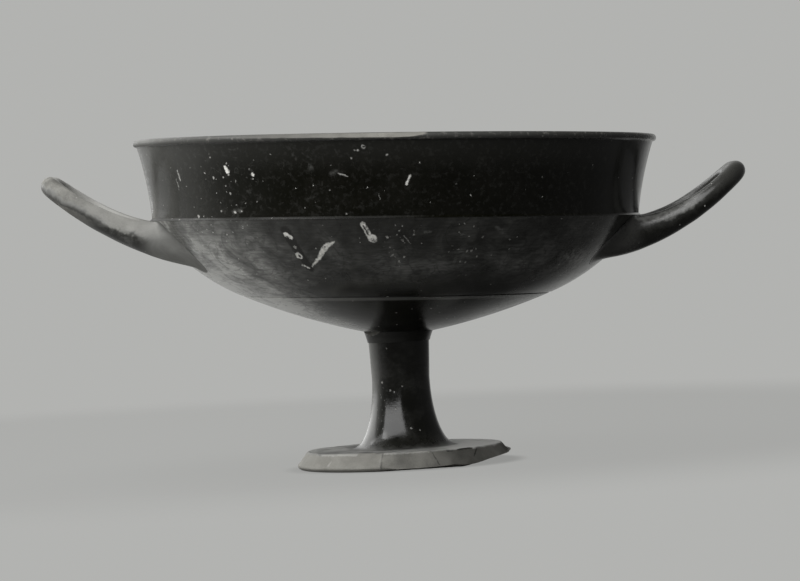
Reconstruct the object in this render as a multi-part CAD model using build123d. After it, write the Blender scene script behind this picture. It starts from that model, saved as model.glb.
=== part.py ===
"""Stemmed drinking cup with two upswept loop handles.

The bowl and its offset lip are one thrown piece, stem and foot are another. A bed of luting clay
joins the two under a turned collar, and beds of luting clay hold the rolled handles to the wall.
Millimetres, +Z up along the stem, origin on the ground at the stem's axis, handles along X.
"""

import os
from math import radians, tan

from build123d import *

# Foot: a disc with a rounded edge, widest low down.
foot_diameter = 86.4
foot_height = 7.1
foot_top_round = 5.0
foot_base_round = 2.4
foot_widest_height = 1.8

# Break: a flake lost from the right of the foot's edge, up from the ground.
break_distance = 24.0
break_angle = 13.0
break_turn = 10.0

# Stem: a slight taper down to the waist, then a quarter ellipse out to the foot.
stem_height = 51.9
stem_top_diameter = 24.6
stem_waist_diameter = 23.4
stem_waist_height = 35.0
flare_reach = 9.8

# Hollow up the middle of the foot and stem.
hollow_diameter = 24.0
hollow_top_diameter = 9.0
hollow_height = 38.0

# Collar round the stem's top, wider at its upper edge.
collar_top_diameter = 27.8
collar_foot_diameter = 25.2
collar_overlap = 2.6

# Joint of bowl and stem: the bowl sits a little askew on its bed of luting clay.
stem_luting_thickness = 1.6
bowl_lean = 2.35
bowl_shift = -0.5

# Bowl, heights from its flat seat: seat, turned line, shoulder, then the crease below the lip.
seat_diameter = 28.8
turned_line_diameter = 123.6
turned_line_height = 14.8
turned_line_width = 1.3
shoulder_diameter = 196.8
bowl_height = 46.0
crease_drop = 0.8
wall_bulge = 3.6
bowl_wall = 4.0
floor_thickness = 4.8

# Lip: concave, leaning out from the crease to a rounded bead at the rim.
lip_base_diameter = 194.8
lip_top_diameter = 206.4
lip_height = 31.2
lip_hollow = 0.75
lip_wall = 3.4
rim_bead_radius = 1.45

# Handles: round coils that thicken towards their roots. The centre line rises along a parabola.
# Drop, slope and root diameter are taken straight below the foot of the lip.
handle_spacing = 52.0
handle_tip_spacing = 48.0
handle_corner_radius = 16.0
handle_reach_left = 39.5
handle_reach_right = 38.1
handle_root_drop = 7.5
handle_root_slope = 0.27
handle_rise_left = 13.4
handle_rise_right = 16.3
handle_root_diameter = 12.8
handle_tip_diameter = 8.0
handle_sections = 15

# Luting clay under the handle roots, squeezed out a little round each root.
handle_luting_thickness = 1.5
handle_luting_spread = 1.0


def turned(*edges):
    """Spins one closed outline, drawn as radius and height, about the Z axis."""
    return revolve(Plane.XZ * make_face(Curve(edges)), Axis.Z)


def chain(*points):
    """Straight edges from point to point."""
    return [Line(a, b) for a, b in zip(points, points[1:])]


def quarter_ellipse(centre, across, up, start_angle):
    """Quarter of an ellipse about a centre, anticlockwise from the start angle."""
    return EllipticalCenterArc(centre, across, up, start_angle=start_angle, arc_size=90)


# Foot and stem.

foot_radius = foot_diameter / 2
foot_top_radius = foot_radius - foot_top_round
foot_base_radius = foot_radius - foot_base_round
stem_top_radius = stem_top_diameter / 2
waist_radius = stem_waist_diameter / 2
collar_height = stem_height - collar_overlap
flare_radius = waist_radius + flare_reach


def stem_and_foot():
    """Solid outline of foot, flare and stem, less the hollow and the broken edge."""
    base_centre = (foot_base_radius, foot_widest_height)
    top_centre = (foot_top_radius, foot_widest_height)
    flare_centre = (flare_radius, stem_waist_height)
    flare = quarter_ellipse(flare_centre, flare_reach, stem_waist_height - foot_height, 180)
    body = turned(
        Line((0, 0), (foot_base_radius, 0)),
        quarter_ellipse(base_centre, foot_base_round, foot_widest_height, 270),
        quarter_ellipse(top_centre, foot_top_round, foot_height - foot_widest_height, 0),
        Line((foot_top_radius, foot_height), (flare_radius, foot_height)),
        flare,
        *chain(
            (waist_radius, stem_waist_height),
            (stem_top_radius, collar_height),
            (stem_top_radius, stem_height),
            (0, stem_height),
            (0, 0),
        ),
    )
    return body - hollow() - broken_edge()


def hollow():
    """Cone up the middle, rounded at its top."""
    top_radius = hollow_top_diameter / 2
    cone_height = hollow_height - top_radius
    return turned(
        *chain((0, 0), (hollow_diameter / 2, 0), (top_radius, cone_height)),
        CenterArc((0, cone_height), top_radius, 0, 90),
        Line((0, hollow_height), (0, 0)),
    )


def broken_edge():
    """Wedge that takes the flake off: it starts at the ground and rises outwards."""
    run = foot_diameter
    wedge = make_face(
        Polyline(
            (break_distance, 0),
            (break_distance + run, 0),
            (break_distance + run, run * tan(radians(break_angle))),
            close=True,
        )
    )
    return Rot(0, 0, -break_turn) * extrude(Plane.XZ * wedge, foot_diameter, both=True)


# Bowl, in its own frame: the seat is at z = 0 and the bowl's axis is Z.

seat = (seat_diameter / 2, 0)
turned_line = (turned_line_diameter / 2, turned_line_height)
shoulder = (shoulder_diameter / 2, bowl_height - crease_drop)
crease = (lip_base_diameter / 2, bowl_height)
rim_height = bowl_height + lip_height
bead_centre = (lip_top_diameter / 2, rim_height - rim_bead_radius)
lip_top = (lip_top_diameter / 2, rim_height - 2 * rim_bead_radius)
crease_inside = (crease[0] - lip_wall, bowl_height)
rim_inside = (lip_top[0] - lip_wall + rim_bead_radius / 2, rim_height)


def bowl_outside():
    """Outer edges from the middle of the seat up to the top of the rim's bead."""
    wall = SagittaArc(shoulder, turned_line, wall_bulge)
    floor = TangentArc(turned_line, seat, tangent=wall % 1)
    lip = SagittaArc(crease, lip_top, lip_hollow)
    bead = CenterArc(bead_centre, rim_bead_radius, -90, 180)
    return [Line((0, 0), seat), floor, wall, Line(shoulder, crease), lip, bead]


def bowl_inside():
    """Inner edges from the rim down the lip and the wall to the middle of the floor."""
    wall_inside = (turned_line[0] - bowl_wall / 2, turned_line[1] + bowl_wall)
    floor_centre = (0, floor_thickness)
    bowl_curve = Spline(
        crease_inside, wall_inside, floor_centre, tangents=[(-0.6, -1), (-1, 0)]
    )
    bead_top = (bead_centre[0], rim_height)
    return [Line(bead_top, rim_inside), SagittaArc(rim_inside, crease_inside, -lip_hollow), bowl_curve]


def bowl_form():
    """The bowl as if it were full: its outer form, which handles and luting clay are cut to."""
    bead_top = (bead_centre[0], rim_height)
    return turned(*bowl_outside(), *chain(bead_top, (0, rim_height), (0, 0)))


def bowl_wall_solid():
    """The hollow bowl with the fine turned line cut round its underside."""
    body = turned(*bowl_outside(), *bowl_inside(), Line((0, floor_thickness), (0, 0)))
    line_cut = Plane.XZ * (Pos(*turned_line) * Circle(turned_line_width / 2))
    return body - revolve(line_cut, Axis.Z)


seat_height = stem_height + stem_luting_thickness
bowl_place = Pos(bowl_shift, 0, seat_height) * Rot(0, bowl_lean, 0)


# Collar and bed of luting clay between stem and bowl.

def stem_collar(full_bowl):
    """Ring round the stem's top that runs up to the bowl's seat."""
    flare = (collar_top_diameter - collar_foot_diameter) / 2 / (seat_height - collar_height)
    top = seat_height + collar_overlap
    top_radius = collar_foot_diameter / 2 + flare * (top - collar_height)
    ring = turned(
        *chain(
            (stem_top_radius, collar_height),
            (collar_foot_diameter / 2, collar_height),
            (top_radius, top),
            (stem_top_radius, top),
            (stem_top_radius, collar_height),
        )
    )
    return ring - full_bowl


def stem_luting(full_bowl):
    """Wedge-shaped disc between the flat top of the stem and the leaning seat."""
    bed_depth = 2 * stem_luting_thickness
    disc = Pos(0, 0, stem_height) * Cylinder(
        stem_top_radius, bed_depth, align=(Align.CENTER, Align.CENTER, Align.MIN)
    )
    return disc - full_bowl


# Handles, in the bowl's frame.

class CentreLine:
    """Side view of a handle: a parabola that passes below the lip's foot and ends at the tip."""

    def __init__(self, reach, rise):
        self.start = turned_line[0]
        self.tip = crease[0] + reach
        self.reach = reach
        self.curl = (rise + handle_root_drop - handle_root_slope * reach) / reach**2

    def height(self, x):
        out = x - crease[0]
        return bowl_height - handle_root_drop + handle_root_slope * out + self.curl * out**2

    def slope(self, x):
        return handle_root_slope + 2 * self.curl * (x - crease[0])

    def diameter(self, x):
        """Coil diameter, thickening from the tip towards the root."""
        short_of_tip = (self.tip - x) / self.reach
        return handle_tip_diameter + (handle_root_diameter - handle_tip_diameter) * short_of_tip**2


def handle_coil(line, spread):
    """Coil through even round sections square to the centre line, made wider by spread."""
    root = handle_spacing / 2
    tip = handle_tip_spacing / 2
    plan = FilletPolyline(
        (line.start, -root), (line.tip, -tip), (line.tip, tip), (line.start, root),
        radius=handle_corner_radius,
    )
    sections = []
    for index in range(handle_sections):
        share = index / (handle_sections - 1)
        here = plan @ share
        ahead = plan % share
        slope = line.slope(here.X)
        place = Plane(
            (here.X, here.Y, line.height(here.X)),
            x_dir=(-slope, 0, 1),
            z_dir=(ahead.X, ahead.Y, slope * ahead.X),
        )
        sections.append(place * Circle(line.diameter(here.X) / 2 + spread))
    return loft(sections)


def handle_and_luting(line, full_bowl):
    """A handle to the right of the bowl, and the front and back beds of luting clay at its roots."""
    bed_face = Pos(handle_luting_thickness, 0, 0) * full_bowl
    handle = handle_coil(line, 0) - bed_face
    beds = (handle_coil(line, handle_luting_spread) & bed_face) - full_bowl
    front, back = beds.solids().sort_by(SortBy.VOLUME)[-2:].sort_by(Axis.Y)
    return handle, front, back


def save(name, shape):
    export_step(shape, f"parts/{name}.step")


full_bowl = bowl_form()
placed_full_bowl = bowl_place * full_bowl
right_line = CentreLine(handle_reach_right, handle_rise_right)
left_line = CentreLine(handle_reach_left, handle_rise_left)
right, right_front, right_back = handle_and_luting(right_line, full_bowl)
left, left_front, left_back = [
    mirror(piece, Plane.YZ) for piece in handle_and_luting(left_line, full_bowl)
]

os.makedirs("parts", exist_ok=True)
save("bowl", bowl_place * bowl_wall_solid())
save("stem_foot", stem_and_foot())
save("stem_collar", stem_collar(placed_full_bowl))
save("stem_luting", stem_luting(placed_full_bowl))
save("handle_right", bowl_place * right)
save("handle_left", bowl_place * left)
save("luting_right_front", bowl_place * right_front)
save("luting_right_back", bowl_place * right_back)
save("luting_left_front", bowl_place * left_front)
save("luting_left_back", bowl_place * left_back)
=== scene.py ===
"""Looks of the stemmed black-gloss cup: thrown clay, rolled handles, worn slip and broken edges.

Outlines and marks are in millimetres. Meshes are in metres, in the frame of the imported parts.
"""

from math import atan, atan2, cos, pi, radians, sin, tan

import bmesh
import bpy
import numpy as np
from mathutils import Matrix, Vector, noise


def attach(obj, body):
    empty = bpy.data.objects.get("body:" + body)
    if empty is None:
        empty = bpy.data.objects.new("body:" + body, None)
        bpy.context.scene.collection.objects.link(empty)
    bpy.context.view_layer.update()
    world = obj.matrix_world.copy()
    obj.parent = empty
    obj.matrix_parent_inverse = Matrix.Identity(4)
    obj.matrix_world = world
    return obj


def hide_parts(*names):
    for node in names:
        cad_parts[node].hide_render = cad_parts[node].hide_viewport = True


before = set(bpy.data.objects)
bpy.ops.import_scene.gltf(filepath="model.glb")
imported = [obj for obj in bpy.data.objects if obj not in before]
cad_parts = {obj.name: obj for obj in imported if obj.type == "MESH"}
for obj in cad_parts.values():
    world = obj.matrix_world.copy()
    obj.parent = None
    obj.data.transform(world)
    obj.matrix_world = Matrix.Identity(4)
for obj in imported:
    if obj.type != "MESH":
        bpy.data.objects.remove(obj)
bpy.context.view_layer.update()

MM = 0.001

# Foot and stem.
foot_radius = 43.2
foot_height = 7.1
foot_bevel = 4.3
foot_base_round = 2.4
foot_widest_height = 1.8
stem_height = 51.9
stem_top_radius = 12.3
waist_radius = 11.7
waist_height = 35.0
flare_reach = 9.8
hollow_radius = 12.0
hollow_top_radius = 4.5
hollow_height = 38.0

# Collar and the bowl's place on the stem.
collar_foot_radius = 12.6
collar_top_radius = 13.9
collar_height = 49.3
collar_hollow = 0.08
seat_height = 53.5
seat_gap = 0.03
bowl_lean = radians(2.35)
bowl_shift = -0.5

# Bowl and lip, heights from the seat.
seat = (14.4, 0.0)
turned_line = (61.8, 14.8)
turned_line_radius = 0.65
turned_line_depth = 0.5
shoulder = (98.4, 45.2)
crease = (97.4, 46.0)
wall_bulge = 3.6
lip_top = (103.2, 74.3)
lip_hollow = 0.75
bead_radius = 1.45
rim_height = 77.2
bead_height = rim_height - bead_radius
rim_inside = (100.525, 77.2)
crease_inside = (94.0, 46.0)
inner_pull = (82.7, 27.1)
floor_thickness = 4.8
floor_pull = (44.0, floor_thickness)

# Long flake lost from the front of the rim: its ends in degrees from the front, and the degrees
# in which it runs out at its right end.
flake_left = -52.0
flake_right = 6.5
flake_depth = 0.95
flake_taper = 6.0

# Handles, in the bowl's frame.
handle_start = 61.8
handle_root_half = 26.0
handle_tip_half = 24.0
handle_corner = 16.0
handle_root_drop = 7.5
handle_root_slope = 0.27
handle_root_diameter = 12.8
handle_tip_diameter = 8.0
handle_sizes = {"left": (39.5, 13.4), "right": (38.1, 16.3)}
coil_points = 141
coil_sides = 44
coil_unevenness = 0.35
coil_lump_size = 9.0

# Luting clay smeared onto the wall at a handle's root.
smear_spread = 3.2
smear_length = 7.0
smear_rings = 16
smear_depth = 0.12

# Turned pieces are smooth this near the axis, points this near each other are one, and faces that
# meet at more than this angle have a sharp edge between them.
smooth_radius = 6.0
weld = 0.001
sharp_edge = radians(38)

bowl_seat = np.array((bowl_shift, 0, seat_height))
bowl_turn = np.array(Matrix.Rotation(bowl_lean, 3, "Y"))


def math_pair(operation):
    """An operator for a value and another term, and the same with the other term first."""

    def forwards(self, other):
        return self.math(operation, self, other)

    def backwards(self, other):
        return self.math(operation, other, self)

    return forwards, backwards


class Value:
    """An output socket of a node tree. Arithmetic on it adds Math nodes to that tree.

    The bar gives the larger of two values: two masks laid over each other.
    """

    __add__, __radd__ = math_pair("ADD")
    __sub__, __rsub__ = math_pair("SUBTRACT")
    __mul__, __rmul__ = math_pair("MULTIPLY")
    __truediv__, __rtruediv__ = math_pair("DIVIDE")
    __pow__, __rpow__ = math_pair("POWER")
    __or__, __ror__ = math_pair("MAXIMUM")

    def __init__(self, tree, socket):
        self.tree = tree
        self.socket = socket

    def math(self, operation, *terms, clamp=False):
        settings = {"operation": operation, "use_clamp": clamp}
        return self.tree.node("ShaderNodeMath", settings, dict(enumerate(terms)))[0]

    def clamped(self):
        return self.math("ADD", self, 0.0, clamp=True)

    def absolute(self):
        return self.math("ABSOLUTE", self)

    def cosine(self):
        return self.math("COSINE", self)

    def sine(self):
        return self.math("SINE", self)

    def level(self, low, high):
        """A number between two numbers or values."""
        return low + self * (high - low)

    def near(self, centre, far, close):
        """Is 1 closer to the centre than close, and fades to 0 at far."""
        return (self - centre).absolute().step(far, close)

    def step(self, low, high):
        """Goes smoothly from 0 at low to 1 at high. Low may be the larger one."""
        return self.tree.node(
            "ShaderNodeMapRange",
            {"interpolation_type": "SMOOTHSTEP"},
            {"Value": self, "From Min": low, "From Max": high},
        )["Result"]


class Outputs:
    """The output sockets of one node, by name, identifier or number."""

    def __init__(self, tree, node):
        self.tree = tree
        self.node = node

    def __getitem__(self, key):
        return Value(self.tree, pick(self.node.outputs, key))


def pick(sockets, key):
    """One socket by its number, its identifier or its name."""
    if isinstance(key, int):
        return sockets[key]
    for socket in sockets:
        if socket.identifier == key:
            return socket
    return sockets[key]


class Nodes:
    """A node tree that takes each node with its settings first and then its sockets."""

    def __init__(self, tree):
        self.tree = tree

    def node(self, kind, settings=None, sockets=None):
        made = self.tree.nodes.new(kind)
        for name, setting in (settings or {}).items():
            setattr(made, name, setting)
        for key, value in (sockets or {}).items():
            socket = pick(made.inputs, key)
            if isinstance(value, Value):
                self.tree.links.new(value.socket, socket)
            else:
                socket.default_value = value
        return Outputs(self, made)

    def vector(self, operation, *terms, scale=None):
        """Vector Math on vectors. Gives a number where the operation ends in one."""
        sockets = dict(zip(("Vector", "Vector_001"), terms))
        if scale is not None:
            sockets["Scale"] = scale
        made = self.node("ShaderNodeVectorMath", {"operation": operation}, sockets)
        return made["Value" if operation in ("DISTANCE", "DOT_PRODUCT", "LENGTH") else "Vector"]

    def split(self, vector):
        parts = self.node("ShaderNodeSeparateXYZ", None, {"Vector": vector})
        return parts["X"], parts["Y"], parts["Z"]

    def join(self, x, y, z):
        return self.node("ShaderNodeCombineXYZ", None, {"X": x, "Y": y, "Z": z})["Vector"]

    def mix(self, factor, low, high):
        """A colour between two colours."""
        sockets = {"Factor_Float": factor, "A_Color": low, "B_Color": high}
        return self.node("ShaderNodeMix", {"data_type": "RGBA"}, sockets)["Result_Color"]

    def noise(self, where, scale, detail=3.0, rough=0.5, twist=0.0, output="Fac"):
        """Smooth random values, with their scale in patches per unit of the place."""
        sockets = {"Vector": where, "Scale": scale, "Detail": detail}
        sockets.update({"Roughness": rough, "Distortion": twist})
        return self.node("ShaderNodeTexNoise", None, sockets)[output]

    def rings(self, height, scale):
        """Fine lines that the turning left, by height."""
        sockets = {"W": height, "Scale": scale, "Detail": 2.0}
        return self.node("ShaderNodeTexNoise", {"noise_dimensions": "1D"}, sockets)["Fac"]


# Geometry Nodes: turned clay and rolled coils.

def open_tree(name, inputs):
    """A geometry tree with named inputs, the node that gives them and their identifiers."""
    group = bpy.data.node_groups.new(name, "GeometryNodeTree")
    names = {}
    for label, kind in inputs.items():
        socket = group.interface.new_socket(label, in_out="INPUT", socket_type="NodeSocket" + kind)
        names[label] = socket.identifier
    group.interface.new_socket("Piece", in_out="OUTPUT", socket_type="NodeSocketGeometry")
    tree = Nodes(group)
    return tree, tree.node("NodeGroupInput"), names


def close_tree(tree, mesh, finish):
    """Ends a geometry tree: smooth faces, real geometry, one material."""
    smooth = tree.node("GeometryNodeSetShadeSmooth", None, {"Geometry": mesh})["Geometry"]
    real = tree.node("GeometryNodeRealizeInstances", None, {"Geometry": smooth})["Geometry"]
    painted = tree.node("GeometryNodeSetMaterial", None, {"Geometry": real, "Material": finish})
    tree.node("NodeGroupOutput", None, {"Piece": painted["Geometry"]})


def turning_tree():
    """Spins an outline of points, radius along X and height along Z, about the Z axis."""
    inputs = {"Outline": "Geometry", "Segments": "Int", "Ridge Depth": "Float", "Ridge Pitch": "Float"}
    inputs.update({"Out Of Round": "Float", "Finish": "Material"})
    tree, given, names = open_tree("turned_clay", inputs)
    outline = given["Outline"]
    rows = tree.node("GeometryNodeAttributeDomainSize", {"component": "MESH"}, {"Geometry": outline})
    rows = rows["Point Count"]
    grid = tree.node(
        "GeometryNodeMeshGrid",
        None,
        {"Size X": 1.0, "Size Y": 1.0, "Vertices X": given["Segments"] + 1, "Vertices Y": rows},
    )["Mesh"]
    place = tree.node("GeometryNodeInputPosition")["Position"]
    across, up, _ = tree.split(place)
    turn = (across + 0.5) * (2 * pi)
    row = tree.node(
        "FunctionNodeFloatToInt", {"rounding_mode": "ROUND"}, {"Float": (up + 0.5) * (rows - 1)}
    )["Integer"]
    point = tree.node(
        "GeometryNodeSampleIndex",
        {"data_type": "FLOAT_VECTOR", "domain": "POINT"},
        {"Geometry": outline, "Value": place, "Index": row},
    )["Value"]
    radius, _, height = tree.split(point)
    ridges = tree.rings(height / given["Ridge Pitch"], 1.0)
    oval = 0.5 - 0.5 * (turn * 2.0).cosine()
    off_axis = (radius / (smooth_radius * MM)).clamped()
    radius = radius - off_axis * (given["Ridge Depth"] * ridges + given["Out Of Round"] * oval)
    spun = tree.join(radius * turn.sine(), 0.0 - radius * turn.cosine(), height)
    body = tree.node("GeometryNodeSetPosition", None, {"Geometry": grid, "Position": spun})["Geometry"]
    merged = tree.node("GeometryNodeMergeByDistance", None, {"Geometry": body, "Distance": weld * MM})
    close_tree(tree, merged["Geometry"], given["Finish"])
    return tree.tree, names


def coiling_tree():
    """Rolls a coil of clay along a path whose points carry the coil's radius."""
    inputs = {"Path": "Geometry", "Sides": "Int", "Unevenness": "Float", "Lump Size": "Float"}
    inputs["Finish"] = "Material"
    tree, given, names = open_tree("rolled_coil", inputs)
    path = tree.node("GeometryNodeMeshToCurve", None, {"Mesh": given["Path"]})["Curve"]
    ring = tree.node(
        "GeometryNodeCurvePrimitiveCircle",
        {"mode": "RADIUS"},
        {"Resolution": given["Sides"], "Radius": 1.0},
    )["Curve"]
    thickness = tree.node(
        "GeometryNodeInputNamedAttribute", {"data_type": "FLOAT"}, {"Name": "coil_radius"}
    )["Attribute"]
    coil = tree.node(
        "GeometryNodeCurveToMesh", None, {"Curve": path, "Profile Curve": ring, "Scale": thickness}
    )["Mesh"]
    place = tree.node("GeometryNodeInputPosition")["Position"]
    lumps = tree.noise(place, 1.0 / given["Lump Size"], 2.0)
    outward = tree.node("GeometryNodeInputNormal")["Normal"]
    inset = tree.vector("SCALE", outward, scale=(0.0 - given["Unevenness"]) * lumps)
    body = tree.node("GeometryNodeSetPosition", None, {"Geometry": coil, "Offset": inset})["Geometry"]
    close_tree(tree, body, given["Finish"])
    return tree.tree, names


def placed(name, data):
    """A new object in the scene."""
    thing = bpy.data.objects.new(name, data)
    bpy.context.scene.collection.objects.link(thing)
    return thing


def grown(name, points, tree, settings, radii=None):
    """A plain mesh object grown from a run of points in millimetres by a geometry tree."""
    group, names = tree
    edges = [(i, i + 1) for i in range(len(points) - 1)]
    start = bpy.data.meshes.new(name)
    start.from_pydata([tuple(MM * c for c in p) for p in points], edges, [])
    if radii is not None:
        start.attributes.new("coil_radius", "FLOAT", "POINT").data.foreach_set("value", radii)
    piece = placed(name, start)
    modifier = piece.modifiers.new("grow", "NODES")
    modifier.node_group = group
    for key, value in settings.items():
        modifier[names[key]] = value
    seen = piece.evaluated_get(bpy.context.evaluated_depsgraph_get())
    result = bpy.data.meshes.new_from_object(seen)
    piece.modifiers.clear()
    piece.data = result
    bpy.data.meshes.remove(start)
    result.name = name
    return piece


def corners(mesh):
    """The mesh's points as an array in millimetres."""
    flat = np.empty(3 * len(mesh.vertices))
    mesh.vertices.foreach_get("co", flat)
    return flat.reshape(-1, 3) / MM


def set_corners(mesh, points):
    mesh.vertices.foreach_set("co", (points * MM).ravel())
    mesh.update()


def set_share(mesh, name, values):
    """Stores one number per point for the materials to read."""
    shares = mesh.attributes.new(name, "FLOAT", "POINT")
    shares.data.foreach_set("value", np.asarray(values, dtype=np.float32))


def face_outwards(mesh, close_ends=False):
    """Turns all faces outward, and may cap the open ends of a coil first."""
    work = bmesh.new()
    work.from_mesh(mesh)
    if close_ends:
        rims = [edge for edge in work.edges if edge.is_boundary]
        bmesh.ops.holes_fill(work, edges=rims, sides=0)
    bmesh.ops.recalc_face_normals(work, faces=work.faces)
    work.to_mesh(mesh)
    work.free()


def unit(vectors):
    return vectors / np.linalg.norm(vectors, axis=-1, keepdims=True)


def rough(points, size, shift=0.0):
    """Smooth random numbers from about -1 to 1, one per point, for broken clay."""
    return np.array([noise.noise(Vector(p) / size + Vector((shift, shift, shift))) for p in points])


# Outlines.

def arc(start, end, bulge, count):
    """Points of an arc. A positive bulge lies on the right of the way from start to end."""
    start, end = np.array(start), np.array(end)
    length = np.linalg.norm(end - start)
    along = (end - start) / length
    side = np.array((along[1], -along[0]))
    half = 2 * atan(2 * bulge / length)
    radius = length / 2 / sin(half)
    centre = (start + end) / 2 - side * radius * cos(half)
    angles = np.linspace(-half, half, count)
    return centre + radius * (np.outer(np.sin(angles), along) + np.outer(np.cos(angles), side))


def quarter(centre, across, up, start_angle, count):
    """Points of a quarter ellipse, anticlockwise from the start angle in degrees."""
    angles = np.radians(start_angle + np.linspace(0, 90, count))
    return np.column_stack((centre[0] + across * np.cos(angles), centre[1] + up * np.sin(angles)))


def bezier(*pulls, count):
    """Points of a curve from the first point to the last, pulled towards those between."""
    t = np.linspace(0, 1, count)[:, None]
    rows = [np.array(pull, float) for pull in pulls]
    while len(rows) > 1:
        rows = [(1 - t) * first + t * second for first, second in zip(rows, rows[1:])]
    return rows[0]


def line(start, end, count):
    return bezier(start, end, count=count)


def joined(*runs):
    """Runs of points in a row, with each common corner kept once."""
    return np.vstack((runs[0], *(run[1:] for run in runs[1:])))


def apart(points, place, reach):
    """The points that are farther than reach from a place."""
    return points[np.linalg.norm(points - place, axis=1) > reach]


def eased(before, after, reach, count=5):
    """Two runs of points joined by a small bend in place of their common corner."""
    corner = before[-1]
    start = corner + unit(before[-2] - corner) * reach
    end = corner + unit(after[1] - corner) * reach
    bend = bezier(start, corner, end, count=count)
    return np.vstack((apart(before, corner, reach), bend, apart(after, corner, reach)))


def bowl_outline():
    """Outer outline from the middle of the seat to the rim, then the inner one down to the floor."""
    wall = arc(turned_line, shoulder, wall_bulge, count=60)
    heading = unit(wall[0] - wall[1])
    chord = np.array(seat) - turned_line
    length = np.linalg.norm(chord)
    chord = chord / length
    swing = atan2(chord[1] * heading[0] - chord[0] * heading[1], chord @ heading)
    floor = arc(turned_line, seat, length / 2 * tan(swing / 2), count=40)[::-1]
    floor = apart(floor, turned_line, turned_line_radius)
    wall = apart(wall, turned_line, turned_line_radius)
    half = heading * turned_line_radius
    groove = arc(turned_line + half, turned_line - half, -turned_line_depth, count=7)
    underside = np.vstack((line((0, 0), seat, count=4)[:-1], floor, groove, wall))
    lip = arc(crease, lip_top, -lip_hollow, count=44)
    outer = joined(eased(underside, line(shoulder, crease, count=5), reach=0.05, count=3), lip)
    bead_centre = (lip_top[0], bead_height)
    bead = quarter(bead_centre, bead_radius, bead_radius, -90, count=9)
    top = quarter(bead_centre, bead_radius, bead_radius, 0, count=9)
    outer = joined(eased(outer, bead, reach=0.25), top, line(top[-1], rim_inside, count=5))
    outer = eased(outer, arc(rim_inside, crease_inside, lip_hollow, count=24), reach=0.6)
    hollow = bezier(crease_inside, inner_pull, floor_pull, (0, floor_thickness), count=54)
    return eased(outer, hollow, reach=2.0)


def stem_outline():
    """From the top of the hollow down to the ground, round the foot and up to the stem's top."""
    cone_height = hollow_height - hollow_top_radius
    dome = quarter((0, cone_height), hollow_top_radius, hollow_top_radius, 0, count=8)[::-1]
    cone = line((hollow_top_radius, cone_height), (hollow_radius, 0), count=16)
    base_radius = foot_radius - foot_base_round
    base = line((hollow_radius, 0), (base_radius, 0), count=40)
    round_centre = (base_radius, foot_widest_height)
    edge_low = quarter(round_centre, foot_base_round, foot_widest_height, -90, count=10)
    bevel_top = (foot_radius - foot_bevel, foot_height)
    bevel = line((foot_radius, foot_widest_height), bevel_top, count=20)
    flare_radius = waist_radius + flare_reach
    flare_centre = (flare_radius, waist_height)
    top = line(bevel_top, (flare_radius, foot_height), count=18)
    edge = eased(eased(edge_low, bevel, reach=0.5), top, reach=0.3)
    flare = quarter(flare_centre, flare_reach, waist_height - foot_height, 180, count=34)[::-1]
    stem = line((waist_radius, waist_height), (stem_top_radius, collar_height), count=18)
    head = line((stem_top_radius, collar_height), (stem_top_radius, stem_height), count=3)
    cap = line((stem_top_radius, stem_height), (0, stem_height), count=4)
    return joined(dome, cone, base, edge, flare, stem, head, cap)


def collar_outline():
    """Ring round the stem's top: flat below, widening upwards, slightly hollow, sharp at its top edge."""
    low, inner_low = (collar_foot_radius, collar_height), (stem_top_radius, collar_height)
    high, inner_high = (collar_top_radius, seat_height), (stem_top_radius, seat_height)
    foot = line(inner_low, low, count=3)
    face = arc(low, high, -collar_hollow, count=30)
    lid = line(high, inner_high, count=4)
    back = line(inner_high, inner_low, count=6)
    return joined(foot, face, lid, back)


def spun(name, outline, finish, segments, ridge_depth, ridge_pitch, out_of_round):
    """A turned piece with its faces outward, and its points, in the frame of its own axis."""
    settings = {
        "Segments": segments,
        "Ridge Depth": ridge_depth * MM,
        "Ridge Pitch": ridge_pitch * MM,
        "Out Of Round": out_of_round * MM,
        "Finish": finish,
    }
    piece = grown(name, [(r, 0, z) for r, z in outline], turning, settings)
    face_outwards(piece.data)
    return piece, corners(piece.data)


def struck(points, flakes):
    """Moves points that lie beyond a flake's plane back onto it. Returns points and a bare mask.

    A flake is azimuth from the front, tilt of its plane's normal above the level, the plane's
    distance from the origin, and how uneven the break is.
    """
    bare = np.zeros(len(points))
    for number, (azimuth, tilt, distance, uneven) in enumerate(flakes):
        azimuth, tilt = radians(azimuth), radians(tilt)
        normal = np.array((sin(azimuth) * cos(tilt), -cos(azimuth) * cos(tilt), sin(tilt)))
        beyond = points @ normal - distance
        near = np.flatnonzero(beyond > -1.0)
        coarse = rough(points[near], size=2.6, shift=number)
        fine = rough(points[near], size=0.9, shift=number)
        beyond[near] += uneven * (coarse + 0.5 * fine)
        hit = beyond > 0
        points[hit] -= np.outer(beyond[hit], normal)
        bare[hit] = 1.0
    return points, bare


def finish_piece(piece, points, shares, *replaced):
    """Points, masks and sharp breaks, then the piece's body, and the nodes that it stands for are hidden.
    """
    set_corners(piece.data, points)
    for name, values in shares.items():
        set_share(piece.data, name, values)
    piece.data.set_sharp_from_angle(angle=sharp_edge)
    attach(piece, "root")
    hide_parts(*replaced)


# Finishes.

slip_deep = (0.0024, 0.0024, 0.0008, 1.0)
slip_thin = (0.0062, 0.0060, 0.0040, 1.0)
# Grey of haze on the slip, also used for painted reflections.
haze_and_glare_grey = (0.300, 0.301, 0.284, 1.0)
# Paler grey of dust, also used for painted glare on the bowl's underside and the foot's top at the right.
dust_and_glare_pale = (0.480, 0.481, 0.460, 1.0)
clay_pale = (0.232, 0.228, 0.206, 1.0)
clay_dark = (0.165, 0.161, 0.144, 1.0)
# Darkest clay: a deep tone at a handle's tip, and painted shade on the foot's edge.
clay_deep_and_shade = (0.070, 0.069, 0.061, 1.0)
rubbed_pale = (0.290, 0.288, 0.268, 1.0)
rubbed_dark = (0.205, 0.203, 0.188, 1.0)
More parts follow.
